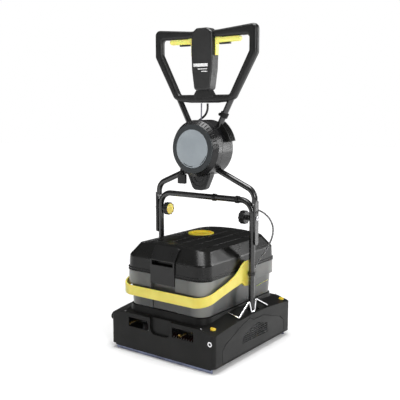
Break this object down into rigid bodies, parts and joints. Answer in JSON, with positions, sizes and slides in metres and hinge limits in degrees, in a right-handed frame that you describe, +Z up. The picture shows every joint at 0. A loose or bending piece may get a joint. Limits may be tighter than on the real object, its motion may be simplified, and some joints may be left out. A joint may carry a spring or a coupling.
{
  "type": "walk-behind floor scrubber",
  "caption": "Twin-roller floor scrubber on a low base, with a lift-off tank, folding tube frame, cable reel and triangular handle.",
  "frame": {"origin": "centre of the base's footprint, on the floor", "axes": "+Z up, the machine's front is -Y, its right-hand side is +X"},
  "size_m": [0.5295, 0.522, 1.1842],
  "materials": {
    "moulded_black": "fine textured moulded plastic",
    "panel_black": "fine textured moulded plastic",
    "handle_black": "semi-gloss moulded plastic",
    "yellow_plastic": "smooth moulded plastic",
    "tank_smoke": "smoky grey, slightly translucent blow-moulded plastic",
    "tub_black": "moulded plastic",
    "tube_black": "gloss black powder coat",
    "chrome": "bright plated",
    "steel": "machined",
    "zinc_plate": "painted pressed steel",
    "rubber": "matt rubber",
    "squeegee_blue": "anodised strip",
    "brass": "turned brass",
    "bristle": "nylon bristles",
    "reel_slate": "satin moulded plastic",
    "reel_grey": "satin moulded plastic",
    "lead_black": "flexible sheath",
    "lead_grey": "flexible sheath",
    "lead_braid": "braided sheath"
  },
  "bodies": {
    "base": {"base_cover": "moulded_black", "side_panel_left": "panel_black", "side_panel_right": "panel_black", "corner_boss": "rubber", "base_bolts": "chrome", "chassis": "zinc_plate", "leg_brackets": "zinc_plate", "roller_bearings": "steel", "brush_motors": "zinc_plate", "drive_belts": "rubber", "suction_turbine": "tub_black", "water_pump": "tub_black", "spray_nozzles": "brass", "squeegee_carriers": "squeegee_blue", "squeegee_lips": "rubber"},
    "roller_front": {"brush_roller_front": "bristle", "roller_shaft_front": "steel"},
    "roller_rear": {"brush_roller_rear": "bristle", "roller_shaft_rear": "steel"},
    "lock_front": {"turn_lock_front": "yellow_plastic"},
    "lock_rear": {"turn_lock_rear": "yellow_plastic"},
    "catch": {"wire_catch": "chrome"},
    "tank": {"fresh_tank": "tank_smoke", "dirty_tank": "tub_black", "bail_pivots": "tank_smoke"},
    "lid": {"tank_lid": "moulded_black", "lid_seal": "rubber"},
    "latch": {"lid_latch": "moulded_black"},
    "cap": {"filler_cap": "yellow_plastic"},
    "bail": {"carry_bail": "yellow_plastic"},
    "frame": {"lower_frame": "tube_black", "lead_clips": "handle_black", "crossbar_lead": "lead_braid", "loop_lead": "lead_braid"},
    "upper_handle": {"upper_tubes": "tube_black", "clamp_bolts": "chrome", "handle_frame": "handle_black", "column_front": "handle_black", "column_back": "handle_black", "hand_switch": "moulded_black", "lever_pins": "steel", "reel_ring": "reel_slate", "reel_disc": "reel_grey", "reel_shell": "handle_black", "reel_rear_shell": "handle_black", "spool_axle": "steel", "reel_foot": "handle_black", "cord_guide": "handle_black", "plug_body": "rubber", "plug_pins": "chrome", "control_lead": "lead_grey", "power_lead": "lead_black"},
    "reel_spool": {"spool": "tub_black", "wound_cord": "lead_black"},
    "knob_left": {"star_knob_left": "handle_black", "knob_cap_left": "yellow_plastic"},
    "knob_right": {"star_knob_right": "handle_black", "knob_cap_right": "yellow_plastic"},
    "lever_left": {"hand_lever_left": "yellow_plastic"},
    "lever_right": {"hand_lever_right": "yellow_plastic"}
  },
  "joints": [
    {"name": "frame_tilt", "type": "hinge", "parent": "base", "child": "frame", "pos_m": [0, 0.01, 0.143], "axis": [1, 0, 0], "range_deg": [-35, 0]},
    {"name": "handle_fold", "type": "hinge", "parent": "frame", "child": "upper_handle", "pos_m": [0, 0.01, 0.5], "axis": [-1, 0, 0], "range_deg": [-80, 0]},
    {"name": "knob_left_turn", "type": "hinge", "parent": "frame", "child": "knob_left", "pos_m": [-0.19, 0.01, 0.5], "axis": [1, 0, 0], "continuous": true},
    {"name": "knob_right_turn", "type": "hinge", "parent": "frame", "child": "knob_right", "pos_m": [0.19, 0.01, 0.5], "axis": [1, 0, 0], "continuous": true},
    {"name": "lever_left_squeeze", "type": "hinge", "parent": "upper_handle", "child": "lever_left", "pos_m": [-0.062, 0.01, 1.15], "axis": [0, 1, 0], "range_deg": [0, 4], "stiffness_Nm_per_rad": 1.5, "springref_deg": -8.59},
    {"name": "lever_right_squeeze", "type": "hinge", "parent": "upper_handle", "child": "lever_right", "pos_m": [0.062, 0.01, 1.15], "axis": [0, -1, 0], "range_deg": [0, 4], "stiffness_Nm_per_rad": 1.5, "springref_deg": -8.59},
    {"name": "spool_turn", "type": "hinge", "parent": "upper_handle", "child": "reel_spool", "pos_m": [0, -0.034, 0.745], "axis": [0, 1, 0], "continuous": true},
    {"name": "bail_lift", "type": "hinge", "parent": "tank", "child": "bail", "pos_m": [0, 0.015, 0.29], "axis": [-1, 0, 0], "range_deg": [0, 78]},
    {"name": "tank_lift", "type": "slide", "parent": "base", "child": "tank", "axis": [0, 0, 1], "range_m": [0, 0.045]},
    {"name": "lid_lift", "type": "slide", "parent": "tank", "child": "lid", "axis": [0, 0, 1], "range_m": [0, 0.04]},
    {"name": "latch_swing", "type": "hinge", "parent": "lid", "child": "latch", "pos_m": [0, -0.212, 0.401], "axis": [-1, 0, 0], "range_deg": [0, 9]},
    {"name": "cap_turn", "type": "hinge", "parent": "lid", "child": "cap", "pos_m": [-0.038, 0.04, 0.41], "axis": [0, 0, 1], "range_deg": [0, 90]},
    {"name": "roller_front_spin", "type": "hinge", "parent": "base", "child": "roller_front", "pos_m": [0, -0.052, 0.043], "axis": [1, 0, 0], "continuous": true},
    {"name": "roller_rear_spin", "type": "hinge", "parent": "base", "child": "roller_rear", "pos_m": [0, 0.052, 0.043], "axis": [1, 0, 0], "continuous": true},
    {"name": "lock_front_turn", "type": "hinge", "parent": "base", "child": "lock_front", "pos_m": [0.205, -0.225, 0.145], "axis": [0, 0, 1], "range_deg": [0, 90]},
    {"name": "lock_rear_turn", "type": "hinge", "parent": "base", "child": "lock_rear", "pos_m": [0.213, 0.232, 0.145], "axis": [0, 0, 1], "range_deg": [0, 90]},
    {"name": "catch_swing", "type": "hinge", "parent": "base", "child": "catch", "pos_m": [0.229, 0, 0.1578], "axis": [0, 1, 0], "range_deg": [0, 35]}
  ],
  "couplings": [
    {"joint": "roller_rear_spin", "follows": "roller_front_spin", "ratio": -1}
  ]
}
